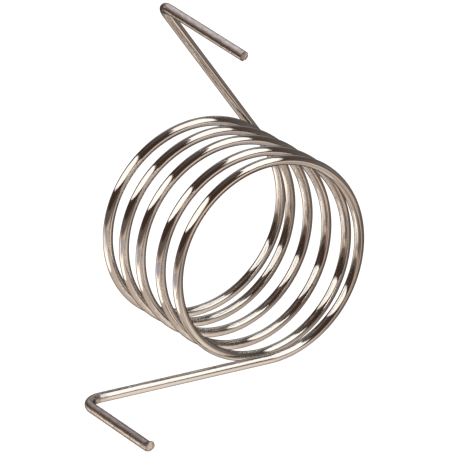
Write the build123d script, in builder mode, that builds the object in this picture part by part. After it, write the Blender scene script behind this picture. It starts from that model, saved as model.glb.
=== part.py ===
from build123d import *
from math import cos, erf, radians, sin
import os

# A torsion spring, bent from one length of round wire: an open coil, a straight leg off each end
# of it, and the end of each leg turned through a tight bend into a hook that points forwards.
# Millimetres and degrees. +Z is up, the coil's axis lies along Y, and -Y is the front.
# The origin is on the coil's axis, halfway between the middles of its two end turns.
# The coil lies on its side, with the front leg and its hook flat on the ground beside it.

# wire
wire_dia = 1.0
cut_edge = 0.06            # width of the small chamfer round each cut end

# coil, wound left-handed from the front leg to the back one
coil_mean_dia = 20.5       # measured to the middle of the wire
full_turns = 5
leg_angle = 53.0           # between the two legs, seen along the axis of the coil
coil_pitch = 3.12          # from turn to turn along the axis
closed_end = 0.25          # turns at each end that lie square to the axis
pitch_ramp = 0.55          # turns over which each closed end opens to the full pitch
sprung_turn = 2.2          # turns from the front leg to the place where the coil is pulled open
sprung_gap = 0.57          # extra room between the turns there
sprung_spread = 0.25       # turns either way that share the extra room

# front leg, flat on the ground, and its hook
front_leg = 21.2           # from the coil to the corner, along the middle of the wire
front_hook = 12.0          # from the corner to the cut end
front_bend = 1.55          # radius of the bend at the middle of the wire
front_turn = 90.0          # how far the hook turns away from the line of the leg

# back leg, raised, and its hook
back_leg = 21.0
back_hook = 13.0
back_bend = 1.4
back_turn = 100.0          # past square, so this hook leans in towards the coil

points_per_turn = 16       # points that the curve of the open turns passes through

# worked out from the sizes above
wire_r = wire_dia / 2
coil_r = coil_mean_dia / 2
coil_turns = full_turns + (180 - leg_angle) / 360
open_turns = coil_turns - 2 * closed_end
forwards = Vector(0, -1, 0)


def ramped(turns):
    """How many turns of full pitch a coil makes that starts flat and opens over pitch_ramp."""
    share = min(max(turns / pitch_ramp, 0), 1)
    return pitch_ramp * (share**3 - share**4 / 2) + max(turns - pitch_ramp, 0)


def rise(turns):
    """How far along the axis the wire has come, so many turns after the front leg."""
    closing = coil_turns - closed_end - pitch_ramp
    even = coil_pitch * (ramped(turns - closed_end) - ramped(turns - closing))
    pulled = sprung_gap * (1 + erf((turns - sprung_turn) / sprung_spread)) / 2
    return even + pulled


def coil_point(turns):
    """A point on the middle of the wire, so many turns after the front leg."""
    angle = radians(360 * turns - 90)
    return Vector(coil_r * cos(angle), rise(turns) - rise(coil_turns) / 2, coil_r * sin(angle))


def wire_heading(turns):
    """Which way the wire runs at a place where the coil lies square to its axis."""
    angle = radians(360 * turns - 90)
    return Vector(-sin(angle), 0, cos(angle))


def hook_heading(leg_heading, turn):
    """Which way a hook points when it turns forwards out of the line of its leg."""
    return leg_heading * cos(radians(turn)) + forwards * sin(radians(turn))


# ends of the coil, corners of the legs and tips of the hooks
front_end = coil_point(0)
front_heading = -wire_heading(0)
front_corner = front_end + front_heading * front_leg
front_tip = front_corner + hook_heading(front_heading, front_turn) * front_hook

back_end = coil_point(coil_turns)
back_heading = wire_heading(coil_turns)
back_corner = back_end + back_heading * back_leg
back_tip = back_corner + hook_heading(back_heading, back_turn) * back_hook

steps = round(open_turns * points_per_turn)
open_points = [coil_point(closed_end + open_turns * i / steps) for i in range(steps + 1)]

with BuildPart() as spring_wire:
    with BuildLine() as middle_line:
        FilletPolyline(front_tip, front_corner, front_end, radius=front_bend)
        ThreePointArc(front_end, coil_point(closed_end / 2), open_points[0])
        Spline(
            open_points,
            tangents=[wire_heading(closed_end), wire_heading(coil_turns - closed_end)],
            tangent_scalars=[1, 1],
        )
        ThreePointArc(open_points[-1], coil_point(coil_turns - closed_end / 2), back_end)
        FilletPolyline(back_end, back_corner, back_tip, radius=back_bend)
    with BuildSketch(Plane(front_tip, z_dir=front_corner - front_tip)):
        Circle(wire_r)
    sweep(path=middle_line.wires()[0], is_frenet=True)
    cut_faces = spring_wire.faces().filter_by(GeomType.PLANE)
    chamfer(cut_faces.edges(), cut_edge)

spring_wire.part.label = "spring_wire"

os.makedirs("parts", exist_ok=True)
export_step(spring_wire.part, "parts/spring_wire.step")

wire_length = middle_line.wires()[0].length
print("wire length", round(wire_length, 2), "turns", round(coil_turns, 3))
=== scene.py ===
from math import atan2, cos, degrees, erf, pi, radians, sin, sqrt, tan

import bmesh
import bpy
import numpy as np
from mathutils import Matrix, Vector, noise


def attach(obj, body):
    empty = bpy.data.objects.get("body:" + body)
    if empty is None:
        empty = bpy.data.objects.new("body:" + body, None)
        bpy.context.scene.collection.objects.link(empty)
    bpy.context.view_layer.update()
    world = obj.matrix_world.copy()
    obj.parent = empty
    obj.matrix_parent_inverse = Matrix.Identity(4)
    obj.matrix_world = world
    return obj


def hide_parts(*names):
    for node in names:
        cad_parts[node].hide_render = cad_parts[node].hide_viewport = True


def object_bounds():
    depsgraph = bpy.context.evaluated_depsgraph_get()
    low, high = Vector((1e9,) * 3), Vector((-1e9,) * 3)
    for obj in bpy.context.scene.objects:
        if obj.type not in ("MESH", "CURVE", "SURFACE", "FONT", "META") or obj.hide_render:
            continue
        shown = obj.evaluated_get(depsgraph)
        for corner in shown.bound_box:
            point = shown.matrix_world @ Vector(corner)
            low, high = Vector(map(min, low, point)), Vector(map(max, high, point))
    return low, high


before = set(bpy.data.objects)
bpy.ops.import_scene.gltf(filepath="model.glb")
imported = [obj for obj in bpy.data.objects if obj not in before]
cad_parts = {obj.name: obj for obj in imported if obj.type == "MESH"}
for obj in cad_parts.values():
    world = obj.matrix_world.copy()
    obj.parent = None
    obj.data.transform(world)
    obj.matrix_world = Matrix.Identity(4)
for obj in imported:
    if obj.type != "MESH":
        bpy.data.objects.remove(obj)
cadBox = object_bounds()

mm = 0.001
forwards = Vector((0, -1, 0))           # both hooks point this way, along the axis of the coil
upwards = Vector((0, 0, 1))


def startClean():
    if bpy.context.mode != "OBJECT":
        bpy.ops.object.mode_set(mode="OBJECT")
    bpy.ops.object.select_all(action="DESELECT")


def workOn(piece):
    startClean()
    piece.select_set(True)
    bpy.context.view_layer.objects.active = piece


def choose(piece, kind, test):          # selects the edges or the faces that pass the test
    bpy.ops.object.mode_set(mode="EDIT")
    bpy.ops.mesh.select_mode(type=kind)
    bpy.ops.mesh.select_all(action="DESELECT")
    mesh = bmesh.from_edit_mesh(piece.data)
    for element in mesh.edges if kind == "EDGE" else mesh.faces:
        element.select_set(test(element))
    bmesh.update_edit_mesh(piece.data)


def readPlaces(piece):
    places = np.empty(len(piece.data.vertices) * 3)
    piece.data.vertices.foreach_get("co", places)
    return places.reshape(-1, 3)


def writeValues(piece, name, values):   # a number for each vertex, or three where values are vectors
    values = np.array(values, np.float32)
    kind, part = ("FLOAT_VECTOR", "vector") if values.ndim > 1 else ("FLOAT", "value")
    field = piece.data.attributes.get(name) or piece.data.attributes.new(name, kind, "POINT")
    field.data.foreach_set(part, values.ravel())


def softStep(value, low, high):         # 0 at low and 1 at high, smooth between them
    share = min(max((value - low) / (high - low), 0), 1)
    return share * share * (3 - 2 * share)


# the coil is wound first, then a leg and a hook are drawn out from each of its ends, in mm and degrees
wire = {
    "diameter": 1.0, "sides": 24, "ringsPerTurn": 360, "legRings": 16, "bendRings": 24, "hookRings": 16,
    "coilDiameter": 20.5, "turns": 5, "legAngle": 53,
    "pitch": 3.12, "closedEnd": 0.25, "ramp": 0.55,                 # the last two in turns
    "sprungTurn": 2.2, "sprungGap": 0.57, "sprungSpread": 0.25,     # where the coil is pulled open
    "front": {"leg": 21.12, "hook": 12.05, "bend": 1.85, "turn": 90},
    "back": {"leg": 21.1, "hook": 13.3, "bend": 1.4, "turn": 100, "lean": 0.4},
    "tipLength": 0.8, "tipRings": 10,
    "dulling": 0.6,                     # length before each bend over which the finish turns dull
    "smoothAngle": 50, "weld": 0.002,
}
wireRadius = wire["diameter"] / 2
coilRadius = wire["coilDiameter"] / 2
coilTurns = wire["turns"] + (180 - wire["legAngle"]) / 360
coilLength = 2 * pi * coilRadius * coilTurns


def ramped(turns):                      # the pitch opens over one ramp
    share = min(max(turns / wire["ramp"], 0), 1)
    return wire["ramp"] * (share**3 - share**4 / 2) + max(turns - wire["ramp"], 0)


def rise(turns):                        # how far the coil has come along its axis
    closing = coilTurns - wire["closedEnd"] - wire["ramp"]
    even = wire["pitch"] * (ramped(turns - wire["closedEnd"]) - ramped(turns - closing))
    sprung = (1 + erf((turns - wire["sprungTurn"]) / wire["sprungSpread"])) / 2
    return even + wire["sprungGap"] * sprung


def windCoil():
    startClean()
    bpy.ops.mesh.primitive_circle_add(vertices=wire["sides"], radius=wireRadius * mm, fill_type="NOTHING",
                                      location=(0, 0, -coilRadius * mm), rotation=(0, radians(90), 0))
    coil = bpy.context.object
    coil.name = "springWire"
    bpy.ops.object.transform_apply(location=True, rotation=True, scale=True)
    bpy.ops.object.modifier_add(type="SCREW")
    winding = coil.modifiers[-1]
    winding.axis = "Y"
    winding.angle = -2 * pi * coilTurns
    winding.steps = winding.render_steps = round(coilTurns * wire["ringsPerTurn"])
    bpy.ops.object.modifier_apply(modifier=winding.name)
    places = readPlaces(coil).reshape(-1, wire["sides"], 3)
    count = len(places)
    section = (places[0] - places[0].mean(axis=0)) / mm
    drawn = []                          # across the wire twice, then along it, in mm
    for ring in range(count):
        share = ring / (count - 1)
        places[ring, :, 1] += (rise(coilTurns * share) - rise(coilTurns) / 2) * mm
        drawn += [(point[1], point[2], coilLength * share) for point in section]
    coil.data.vertices.foreach_set("co", places.ravel())
    writeValues(coil, "drawn", drawn)
    writeValues(coil, "worked", np.zeros(len(drawn)))
    writeValues(coil, "cut", np.zeros(len(drawn)))
    print("coil wound in", count, "rings")
    return coil


def copyRing(coil, first, name):        # the ring that starts at this vertex, as a piece of its own
    workOn(coil)
    bpy.ops.object.mode_set(mode="EDIT")
    bpy.ops.mesh.select_mode(type="VERT")
    bpy.ops.mesh.select_all(action="DESELECT")
    bpy.ops.object.mode_set(mode="OBJECT")
    for vertex in coil.data.vertices[first:first + wire["sides"]]:
        vertex.select = True
    bpy.ops.object.mode_set(mode="EDIT")
    bpy.ops.mesh.duplicate()
    bpy.ops.mesh.separate(type="SELECTED")
    bpy.ops.object.mode_set(mode="OBJECT")
    ring = [piece for piece in bpy.context.selected_objects if piece != coil][0]
    ring.name = name
    return ring


def drawOut(heading, length, count):
    step = heading * (length / count * mm)
    for _ in range(count):
        bpy.ops.mesh.extrude_region_move(TRANSFORM_OT_translate={"value": step})


def drawEnd(coil, name, first, heading, shape):
    end = copyRing(coil, first, name)
    turned = radians(shape["turn"])
    span = shape["bend"] * tan(turned / 2)                          # from the bend's start to its corner
    corner = Vector(readPlaces(end).mean(axis=0)) / mm + heading * shape["leg"]
    centre = corner - heading * span + forwards * shape["bend"]
    hookHeading = heading * cos(turned) + forwards * sin(turned)
    straight = shape["leg"] - span
    runs = [(straight, wire["legRings"]),
            (shape["bend"] * turned, wire["bendRings"]),
            (shape["hook"] - span - wire["tipLength"], wire["hookRings"]),
            (wire["tipLength"], wire["tipRings"])]
    ring = [entry.vector[:] for entry in end.data.attributes["drawn"].data]
    workOn(end)
    bpy.ops.object.mode_set(mode="EDIT")
    bpy.ops.mesh.select_all(action="SELECT")
    drawOut(heading, *runs[0])
    bpy.ops.mesh.spin(steps=wire["bendRings"], angle=-turned, center=centre * mm,
                      axis=heading.cross(forwards))
    drawOut(hookHeading, *runs[2])
    drawOut(hookHeading, *runs[3])
    bpy.ops.object.mode_set(mode="OBJECT")
    along = [0.0]
    for length, count in runs:
        along += [along[-1] + length / count * (step + 1) for step in range(count)]
    way = 1 if ring[0][2] > 0 else -1                               # the front end is drawn out backwards
    writeValues(end, "drawn", [(x, y, start + way * far) for far in along for x, y, start in ring])
    dulled = [min(max((far - straight) / wire["dulling"] + 1, 0), 1) for far in along]
    writeValues(end, "worked", np.repeat(dulled, wire["sides"]))
    tip = corner + hookHeading * shape["hook"]
    print(name, "drawn out to", [round(value, 2) for value in tip])
    return end, tip, hookHeading


# the cut faces, in mm, with their rims and heights in wire radii
tips = {
    "insets": ((0.03, 0.05), (0.05, 0.04), (0.08, 0.025), (0.12, 0.01), (0.10, 0.0)),       # width and depth
    "grain": 0.022, "grainSize": 0.16,
    "faceDepth": (0.02, 0.10), "faceRim": (0.98, 0.78),             # where the rough face takes over
    "lip": 0.20, "lipLength": 0.36, "lipHeight": (0.45, 0.95),
    "rolled": 0.07, "rolledLength": 0.55, "rolledHeight": (0.5, -0.9),
    "slant": 0.18,
}


def closeTip(end, tip, heading, sheared):
    workOn(end)
    choose(end, "EDGE",
           lambda edge: edge.is_boundary and (edge.verts[0].co - tip * mm).length < wire["diameter"] * mm)
    bpy.ops.mesh.edge_face_add()
    for inset, depth in tips["insets"]:
        bpy.ops.mesh.inset(thickness=inset * mm, depth=depth * mm)
    bpy.ops.mesh.poke()
    bpy.ops.object.mode_set(mode="OBJECT")
    over = (upwards - heading * heading.z).normalized()
    cut = []
    for vertex in end.data.vertices:
        place = vertex.co / mm - tip
        along = place.dot(heading)
        centred = place - heading * along
        rim = centred.length / wireRadius
        face = softStep(along, *tips["faceDepth"]) * softStep(rim, *tips["faceRim"])
        cut.append(face)
        move = heading * (noise.noise(vertex.co / (tips["grainSize"] * mm)) * tips["grain"] * face)
        if sheared:                     # the cutters rolled the lower side over and left a lip above
            high = centred.dot(over) / wireRadius
            lip = tips["lip"] * softStep(along, -tips["lipLength"], 0) * softStep(high, *tips["lipHeight"])
            rolling = max(1 + along / tips["rolledLength"], 0) ** 2
            rolled = tips["rolled"] * rolling * rim * softStep(high, *tips["rolledHeight"])
            move += over * (lip + rolled) + heading * (tips["slant"] * (high + 1) * rolling)
        vertex.co += move * mm
    writeValues(end, "cut", cut)
    print("tip closed on", end.name)


def joinWire(coil, ends):
    workOn(coil)
    for end in ends:
        end.select_set(True)
    bpy.ops.object.join()
    bpy.ops.object.mode_set(mode="EDIT")
    bpy.ops.mesh.select_all(action="SELECT")
    bpy.ops.mesh.remove_doubles(threshold=wire["weld"] * mm)
    bpy.ops.mesh.normals_make_consistent(inside=False)
    bpy.ops.object.mode_set(mode="OBJECT")
    bpy.ops.object.shade_smooth_by_angle(angle=radians(wire["smoothAngle"]))
    closed = bmesh.new()
    closed.from_mesh(coil.data)
    print("wire joined, open edges", sum(not edge.is_manifold for edge in closed.edges),
          "volume in mm3", round(closed.calc_volume() / mm**3, 1),
          "triangles", sum(len(face.verts) - 2 for face in closed.faces))
    closed.free()


coil = windCoil()
lastRing = len(coil.data.vertices) - wire["sides"]
raised = radians(360 * coilTurns - 90 + wire["back"]["lean"])
frontEnd, frontTip, frontHeading = drawEnd(coil, "frontEnd", 0, Vector((-1, 0, 0)), wire["front"])
backEnd, backTip, backHeading = drawEnd(coil, "backEnd", lastRing, Vector((-sin(raised), 0, cos(raised))),
                                        wire["back"])
closeTip(frontEnd, frontTip, frontHeading, True)
closeTip(backEnd, backTip, backHeading, False)
joinWire(coil, (frontEnd, backEnd))
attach(coil, "root")
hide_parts("spring_wire")


class Shade:                            # a socket that takes part in sums
    def __init__(self, tree, socket=None):
        self.tree = tree
        self.socket = socket

    def node(self, kind, settings=None, values=None, output=0):
        made = self.tree.nodes.new("ShaderNode" + kind)
        for name, value in (settings or {}).items():
            setattr(made, name, value)
        for name, value in (values or {}).items():
            if isinstance(value, Shade):
                self.tree.links.new(value.socket, made.inputs[name])
            elif made.inputs[name].type == "RGBA":
                made.inputs[name].default_value = (*value, 1)
            else:
                made.inputs[name].default_value = value
        return Shade(self.tree, made.outputs[output] if made.outputs else None)

    def maths(self, operation, first, second):
        return self.node("Math", {"operation": operation}, {0: first, 1: second})

    def __add__(self, other):
        return self.maths("ADD", self, other)

    def __radd__(self, other):
        return self.maths("ADD", other, self)

    def __sub__(self, other):
        return self.maths("SUBTRACT", self, other)

    def __rsub__(self, other):
        return self.maths("SUBTRACT", other, self)

    def __mul__(self, other):
        return self.maths("MULTIPLY", self, other)

    def __rmul__(self, other):
        return self.maths("MULTIPLY", other, self)

    def over(self, low, high, start=0.0, end=1.0):      # a smooth step from low to high
        return self.node("MapRange", {"interpolation_type": "SMOOTHSTEP"},
                         {"Value": self, "From Min": low, "From Max": high, "To Min": start, "To Max": end})

    def mixed(self, first, second):                     # colours, by this socket's value
        return self.node("Mix", {"data_type": "RGBA"}, {0: self, 6: first, 7: second}, 2)

    def dot(self, heading):
        return self.node("VectorMath", {"operation": "DOT_PRODUCT"}, {0: self, 1: tuple(heading)}, 1)

    def scaled(self, scale):
        return self.node("VectorMath", {"operation": "SCALE"}, {0: self, "Scale": scale})


def newMaterial(piece, name):
    material = bpy.data.materials.new(name)
    material.use_nodes = True
    material.node_tree.nodes.clear()
    piece.data.materials.append(material)
    return Shade(material.node_tree)


plating = {
    "colour": (0.82, 0.80, 0.78), "dim": (0.70, 0.67, 0.645), "edge": (0.05, 0.036, 0.03), "roughness": 0.045,
    # how fine each pattern is for each mm, across the wire both ways and along it, and its detail
    "fineLines": ((13, 13, 0.35), 3.0), "broadLines": ((2.4, 2.4, 0.14), 2.0),
    "mottle": ((4.5, 4.5, 1.6), 3.0), "grain": 4, "grainDetail": 3.0, "patternRoughness": 0.6,
    "broadFade": (0.42, 0.68), "mottleFade": (0.40, 0.66), "dimShare": 0.6,
    "lineRoughness": 0.04, "mottleRoughness": 0.08,
    "satin": 0.17, "satinColour": (0.80, 0.775, 0.765), "satinDim": (0.60, 0.55, 0.51),     # worked hooks
    "cutColour": (0.24, 0.195, 0.17), "cutRoughness": 0.36,
    "relief": 0.01, "lineRelief": 0.25, "mottleRelief": 0.45, "cutRelief": 3.0,     # in mm, then shares of it
}


def paintWire(piece):
    shade = newMaterial(piece, "platedWire")
    drawn = shade.node("Attribute", {"attribute_name": "drawn"}, None, "Vector")
    worked = shade.node("Attribute", {"attribute_name": "worked"}, None, "Fac")
    cut = shade.node("Attribute", {"attribute_name": "cut"}, None, "Fac")

    def pattern(name):                  # noise drawn out along the wire
        fineness, detail = plating[name]
        stretched = shade.node("VectorMath", {"operation": "MULTIPLY"}, {0: drawn, 1: fineness})
        return shade.node("TexNoise", None, {"Vector": stretched, "Scale": 1.0, "Detail": detail,
                                             "Roughness": plating["patternRoughness"]})

    inMm = shade.node("TexCoord", None, None, "Object").scaled(plating["grain"] / mm)
    grain = shade.node("TexNoise", None, {"Vector": inMm, "Scale": 1.0, "Detail": plating["grainDetail"]})
    fine = pattern("fineLines")
    broad = pattern("broadLines").over(*plating["broadFade"])
    mottle = pattern("mottle").over(*plating["mottleFade"])
    bright = (broad * plating["dimShare"]).mixed(plating["colour"], plating["dim"])
    satin = mottle.mixed(plating["satinColour"], plating["satinDim"])
    colour = cut.mixed(worked.mixed(bright, satin), plating["cutColour"])
    dull = plating["satin"] + mottle * plating["mottleRoughness"]
    roughness = plating["roughness"] + fine * plating["lineRoughness"] + worked * dull
    roughness = roughness + cut * plating["cutRoughness"]
    height = fine * plating["lineRelief"] + worked * mottle * plating["mottleRelief"]
    height = height + cut * grain * plating["cutRelief"]
    relief = shade.node("Bump", None, {"Strength": 1.0, "Distance": plating["relief"] * mm, "Height": height})
    metal = shade.node("BsdfPrincipled", None, {
        "Base Color": colour, "Metallic": 1.0, "Roughness": roughness, "Specular Tint": plating["edge"],
        "Normal": relief})
    shade.node("OutputMaterial", None, {"Surface": metal})
    print("wire painted")


paintWire(coil)


view = {                                # distances in mm, and clipping in metres
    "out": (-0.51244, -0.77874, 0.3619), "right": (0.84031, -0.54155, 0.02456),
    "aimY": -1.24, "distance": 375.2, "lens": 305.39, "sensor": 36, "shiftX": -0.0299, "shiftY": 0.0359,
    "clipNear": 0.01, "clipFar": 20,
}
viewOut = Vector(view["out"]).normalized()              # from the spring to the camera
viewRight = Vector(view["right"]).normalized()
depthSteps = (1.4, 1.6)                 # between a first reflection, 1, and a reflection of one, 2


def direction(azimuth, elevation):      # azimuth 0 looks to the front, and 90 to the right
    a, e = radians(azimuth), radians(elevation)
    return Vector((sin(a) * cos(e), -cos(a) * cos(e), sin(e)))


def ray(shade, kind):
    return shade.node("LightPath", None, None, kind)


def byBounce(shade, first, later):      # a value for the first reflection, and one for those after it
    return ray(shade, "Ray Depth").over(*depthSteps, first, later)


def straightOrMirrored(shade):          # 1 for the camera's rays and for what metal and glass show
    return ray(shade, "Is Camera Ray") + ray(shade, "Is Glossy Ray") + ray(shade, "Is Transmission Ray")


def glowing(shade, colour, strength=1.0):
    return shade.node("Emission", None, {"Color": colour, "Strength": strength})


def onlyInReflections(piece):
    piece.visible_camera = False
    piece.visible_diffuse = False
    piece.visible_transmission = False
    piece.visible_volume_scatter = False
    piece.visible_shadow = False
    print("in place:", piece.name)


# painted reflections: glowing cards, dark and pale, that only the hooks see, so that the hooks show dark and
# pale bands
hookReflectionCards = {                           # mm, and degrees round the hook from the side that faces the camera
    "radius": 7, "spare": 4, "sides": 96, "reach": (12.4, 13.4),    # rays longer than this don't meet a card
    "dark": (0.092, 0.048, 0.026), "fadeIn": 14, "fadeOut": 16,
    "front": {"from": -36, "to": 100, "start": -6, "end": 80, "light": (0.46, 0.43, 0.47)},
    "back": {"from": -84, "to": 130, "start": -36, "end": 64, "light": (0.78, 0.74, 0.76)},
}


def hangHookCard(name, tip, heading, length, card):     # a curved glowing card behind a hook, seen in that hook alone: a painted reflection, dark shading to pale
    startClean()
    slope = viewOut.dot(heading)
    facing = (viewOut - heading * slope).normalized()
    upward = heading.cross(facing)
    if upward.z < 0:
        upward = -upward
    behind = heading * (-slope / sqrt(1 - slope * slope) * hookReflectionCards["radius"])
    centre = tip - heading * (length / 2) + behind
    bpy.ops.mesh.primitive_cylinder_add(vertices=hookReflectionCards["sides"], radius=hookReflectionCards["radius"] * mm,
                                        depth=(length + 2 * hookReflectionCards["spare"]) * mm,
                                        end_fill_type="NOTHING", location=centre * mm,
                                        rotation=heading.to_track_quat("Z", "Y").to_euler())
    piece = bpy.context.object
    piece.name = name
    bpy.ops.object.transform_apply(location=True, rotation=True, scale=True)
    sides = [Vector(place) - centre * mm for place in readPlaces(piece)]
    around = [degrees(atan2(side.dot(upward), side.dot(facing))) for side in sides]
    writeValues(piece, "around", around)
    inside = [card["from"] <= angle <= card["to"] for angle in around]
    choose(piece, "FACE", lambda face: not all(inside[vertex.index] for vertex in face.verts))
    bpy.ops.mesh.delete(type="FACE")
    bpy.ops.object.mode_set(mode="OBJECT")
    paintHookCard(piece, card)
    onlyInReflections(piece)


def paintHookCard(piece, card):         # the painted reflection fades out at its edges, far off and after a first reflection
    shade = newMaterial(piece, piece.name)
    angle = shade.node("Attribute", {"attribute_name": "around"}, None, "Fac")
    reach = [far * mm for far in hookReflectionCards["reach"]]
    close = ray(shade, "Ray Length").over(*reach, 1.0, 0.0)
    edges = angle.over(card["from"], card["from"] + hookReflectionCards["fadeIn"])
    edges = edges * angle.over(card["to"] - hookReflectionCards["fadeOut"], card["to"], 1.0, 0.0)
    glow = glowing(shade, angle.over(card["start"], card["end"]).mixed(hookReflectionCards["dark"], card["light"]))
    shown = shade.node("MixShader", None, {0: close * edges * byBounce(shade, 1.0, 0.0),
                                           1: shade.node("BsdfTransparent"), 2: glow})
    shade.node("OutputMaterial", None, {"Surface": shown})


leftPanel = {                           # corners as azimuth, elevation and metres, and the rest in metres
    "corners": ((-150, 8, 0.84), (-14, 8, 1.9), (-150, 37, 1.04), (-16, 14, 2.3)), "cuts": 10,
    "along": -7, "strength": (0.5, 1.7, 1.35, 0.38),                # falls as the panel runs out this way
    "near": (1.0, 0.955, 0.90), "far": (1.0, 0.80, 0.64), "warming": (0.3, 1.4),
    "laterOff": (0.1, 0.5), "laterOn": (0.05, 0.45, 1.6, 0.0), "laterHeight": (0.22, 0.34),
}


def hangLeft():
    startClean()
    bpy.ops.mesh.primitive_plane_add(size=1, location=(0, 0, 0))
    panel = bpy.context.object
    panel.name = "leftPanel"
    for vertex, (azimuth, elevation, distance) in zip(panel.data.vertices, leftPanel["corners"]):
        vertex.co = direction(azimuth, elevation) * distance
    bpy.ops.object.mode_set(mode="EDIT")
    bpy.ops.mesh.select_all(action="SELECT")
    bpy.ops.mesh.subdivide(number_cuts=leftPanel["cuts"])
    bpy.ops.object.mode_set(mode="OBJECT")
    shade = newMaterial(panel, "leftPanel")
    place = shade.node("TexCoord", None, None, "Object")
    reach = place.dot(direction(leftPanel["along"], 0))
    height = place.dot(upwards)
    again = byBounce(shade, 0.0, 1.0)
    first = reach.over(*leftPanel["strength"]) * (1 - again * reach.over(*leftPanel["laterOff"]))
    later = again * reach.over(*leftPanel["laterOn"]) * height.over(*leftPanel["laterHeight"])
    tint = reach.over(*leftPanel["warming"]).mixed(leftPanel["near"], leftPanel["far"])
    shade.node("OutputMaterial", None, {"Surface": glowing(shade, tint.scaled(first + later))})
    onlyInReflections(panel)


ceiling = {                             # metres up, and corners ahead and across, in heights
    "height": 0.6, "ahead": 26, "colour": (1.0, 0.975, 0.935), "strength": 1.32, "later": 0.9,
    "strips": {"ceilingNear": ((-0.1, 0.0), (-0.1, 0.5), (1.6, -0.62), (1.6, 0.37)),
               "ceilingFar": ((1.6, -0.62), (1.6, 0.37), (6, -0.6), (6, 0.33))},
}


def hangCeiling():
    startClean()
    ahead = direction(ceiling["ahead"], 0)
    across = direction(ceiling["ahead"] + 90, 0)
    for name, corners in ceiling["strips"].items():
        bpy.ops.mesh.primitive_plane_add(size=1, location=(0, 0, 0))
        strip = bpy.context.object
        strip.name = name
        for vertex, (far, aside) in zip(strip.data.vertices, corners):
            vertex.co = (ahead * far + across * aside + upwards) * ceiling["height"]
        shade = newMaterial(strip, name)
        glow = glowing(shade, ceiling["colour"], byBounce(shade, ceiling["strength"], ceiling["later"]))
        shade.node("OutputMaterial", None, {"Surface": glow})
        onlyInReflections(strip)


# dark to the left and grey to the right, each with another shade at its top, and a pale patch at the back
walls = {
    "radius": 5, "segments": 64, "rings": 32, "later": 0.3,
    "dark": (0.055, 0.033, 0.024), "darkTop": (0.10, 0.085, 0.075), "darkFade": (0.75, 0.95),
    "grey": (0.23, 0.20, 0.18), "greyTop": (0.12, 0.10, 0.09), "greyFade": (0.15, 0.5),
    "right": (0.96, 0.28, 0), "rightFade": (0.1, 0.9),
    "patch": (0.50, 0.46, 0.44), "patchAt": (150, 25), "patchFade": (0.80, 0.97),
}


def raiseWalls():
    startClean()
    bpy.ops.mesh.primitive_uv_sphere_add(segments=walls["segments"], ring_count=walls["rings"],
                                         radius=walls["radius"], location=(0, 0, 0))
    piece = bpy.context.object
    piece.name = "walls"
    bpy.ops.object.shade_smooth()
    shade = newMaterial(piece, "walls")
    place = shade.node("TexCoord", None, None, "Object")
    place = shade.node("VectorMath", {"operation": "NORMALIZE"}, {0: place})
    height = place.dot(upwards)
    left = height.over(*walls["darkFade"]).mixed(walls["dark"], walls["darkTop"])
    right = height.over(*walls["greyFade"]).mixed(walls["grey"], walls["greyTop"])
    colour = place.dot(walls["right"]).over(*walls["rightFade"]).mixed(left, right)
    colour = place.dot(direction(*walls["patchAt"])).over(*walls["patchFade"]).mixed(colour, walls["patch"])
    glow = glowing(shade, colour, byBounce(shade, 1.0, walls["later"]))
    shade.node("OutputMaterial", None, {"Surface": glow})
    onlyInReflections(piece)


# the painted reflection of the table: painted light and shade, as the colours that each part of the table
# glows with in the wire, and the fades between the parts, in mm
table = {
    "size": 6, "base": (0.06, 0.048, 0.04), "roughness": 0.05, "refraction": 3.8, "white": (0.97, 0.97, 0.97),
    "near": (0.58, 0.48, 0.40), "nearX": (3, 14, 1.0, 0.0), "nearY": (-30, -10),
    "aside": (0.13, 0.092, 0.070), "beyond": (35, 75),
    "far": (0.11, 0.085, 0.07), "behind": (0.34, 0.285, 0.25), "behindX": (-10, 30), "behindY": (0, 30),
    "litFrontPatch": (0.56, 0.40, 0.31), "warmX": (-30, 0), "warmEndX": (50, 90, 1.0, 0.0),
    "warmY": (-48, -34, 1.0, 0.0),
    "hook": (0.70, 0.56, 0.45), "hookX": (-55, -45), "hookEndX": (-26, -17, 1.0, 0.0),
    "hookY": (-2, 4, 1.0, 0.0),
}


def layFloor():
    startClean()
    bpy.ops.mesh.primitive_plane_add(size=table["size"], location=(0, 0, cadBox[0][2]))
    floor = bpy.context.object
    floor.name = "floor"
    bpy.ops.object.transform_apply(location=True, rotation=True, scale=True)
    shade = newMaterial(floor, "paleTable")
    place = shade.node("TexCoord", None, None, "Object").scaled(1 / mm)
    reach = shade.node("VectorMath", {"operation": "LENGTH"}, {0: place}, 1)
    x, y = (shade.node("SeparateXYZ", None, {0: place}, axis) for axis in ("X", "Y"))
    # painted shade: the table is dark in the wire to the right of the coil and in front of it, and lit near
    # it
    aside = 1 - y.over(*table["nearY"]) * x.over(*table["nearX"])
    # painted light: a pale, lit patch of table to the left, by the hooks
    hook = x.over(*table["hookX"]) * x.over(*table["hookEndX"]) * y.over(*table["hookY"])
    near = hook.mixed(aside.mixed(table["near"], table["aside"]), table["hook"])
    # darker far off, with a lighter part behind, to the right
    behind = y.over(*table["behindY"]) * x.over(*table["behindX"])
    far = behind.mixed(table["far"], table["behind"])
    # painted light: a lit patch of table in front, to the right
    litFrontPatch = x.over(*table["warmX"]) * x.over(*table["warmEndX"]) * y.over(*table["warmY"])
    mirrored = litFrontPatch.mixed(reach.over(*table["beyond"]).mixed(near, far), table["litFrontPatch"])
    # for reflections the table glows with this painted light and shade, and for the camera it glows white
    surface = shade.node("BsdfPrincipled", None, {
        "Base Color": table["base"], "Roughness": table["roughness"], "IOR": table["refraction"],
        "Emission Color": ray(shade, "Is Camera Ray").mixed(mirrored, table["white"]),
        "Emission Strength": straightOrMirrored(shade)})
    shade.node("OutputMaterial", None, {"Surface": surface})
    print("table laid")


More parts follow.
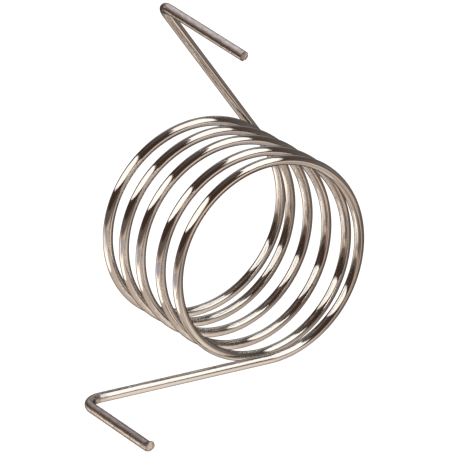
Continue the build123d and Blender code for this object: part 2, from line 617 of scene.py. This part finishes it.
hangHookCard("frontHookCard", frontTip, frontHeading, wire["front"]["hook"], hookReflectionCards["front"])
hangHookCard("backHookCard", backTip, backHeading, wire["back"]["hook"], hookReflectionCards["back"])
hangLeft()
hangCeiling()
raiseWalls()
layFloor()


studio = {"colour": (1, 1, 1), "fill": 0.45, "shown": 1.0}


def lightStudio():
    world = bpy.data.worlds.new("studio")
    bpy.context.scene.world = world
    world.use_nodes = True
    world.node_tree.nodes.clear()
    shade = Shade(world.node_tree)
    strength = straightOrMirrored(shade).over(0, 1, studio["fill"], studio["shown"])
    background = shade.node("Background", None, {"Color": studio["colour"], "Strength": strength})
    shade.node("OutputWorld", None, {"Surface": background})
    print("studio lit")


softLamp = {"azimuth": 20, "elevation": 65, "distance": 0.8, "size": 0.7, "watts": 3.0}     # metres


def hangLamp():
    data = bpy.data.lights.new("softLamp", "AREA")
    data.shape = "SQUARE"
    data.size = softLamp["size"]
    data.energy = softLamp["watts"]
    lamp = bpy.data.objects.new("softLamp", data)
    bpy.context.scene.collection.objects.link(lamp)
    spot = direction(softLamp["azimuth"], softLamp["elevation"])
    lamp.location = spot * softLamp["distance"]
    lamp.rotation_euler = spot.to_track_quat("Z", "Y").to_euler()
    lamp.visible_glossy = False
    lamp.visible_camera = False
    print("lamp hung")


def setCamera():
    data = bpy.data.cameras.new("camera")
    camera = bpy.data.objects.new("camera", data)
    bpy.context.scene.collection.objects.link(camera)
    bpy.context.scene.camera = camera
    viewUp = viewOut.cross(viewRight)
    place = (viewOut * view["distance"] + Vector((0, view["aimY"], 0))) * mm
    camera.matrix_world = Matrix((
        (viewRight.x, viewUp.x, viewOut.x, place.x),
        (viewRight.y, viewUp.y, viewOut.y, place.y),
        (viewRight.z, viewUp.z, viewOut.z, place.z),
        (0, 0, 0, 1)))
    data.lens = view["lens"]
    data.sensor_width = view["sensor"]
    data.shift_x = view["shiftX"]
    data.shift_y = view["shiftY"]
    data.clip_start = view["clipNear"]
    data.clip_end = view["clipFar"]
    print("camera set")


lightStudio()
hangLamp()
setCamera()

bpy.context.scene.view_settings.view_transform = "Standard"
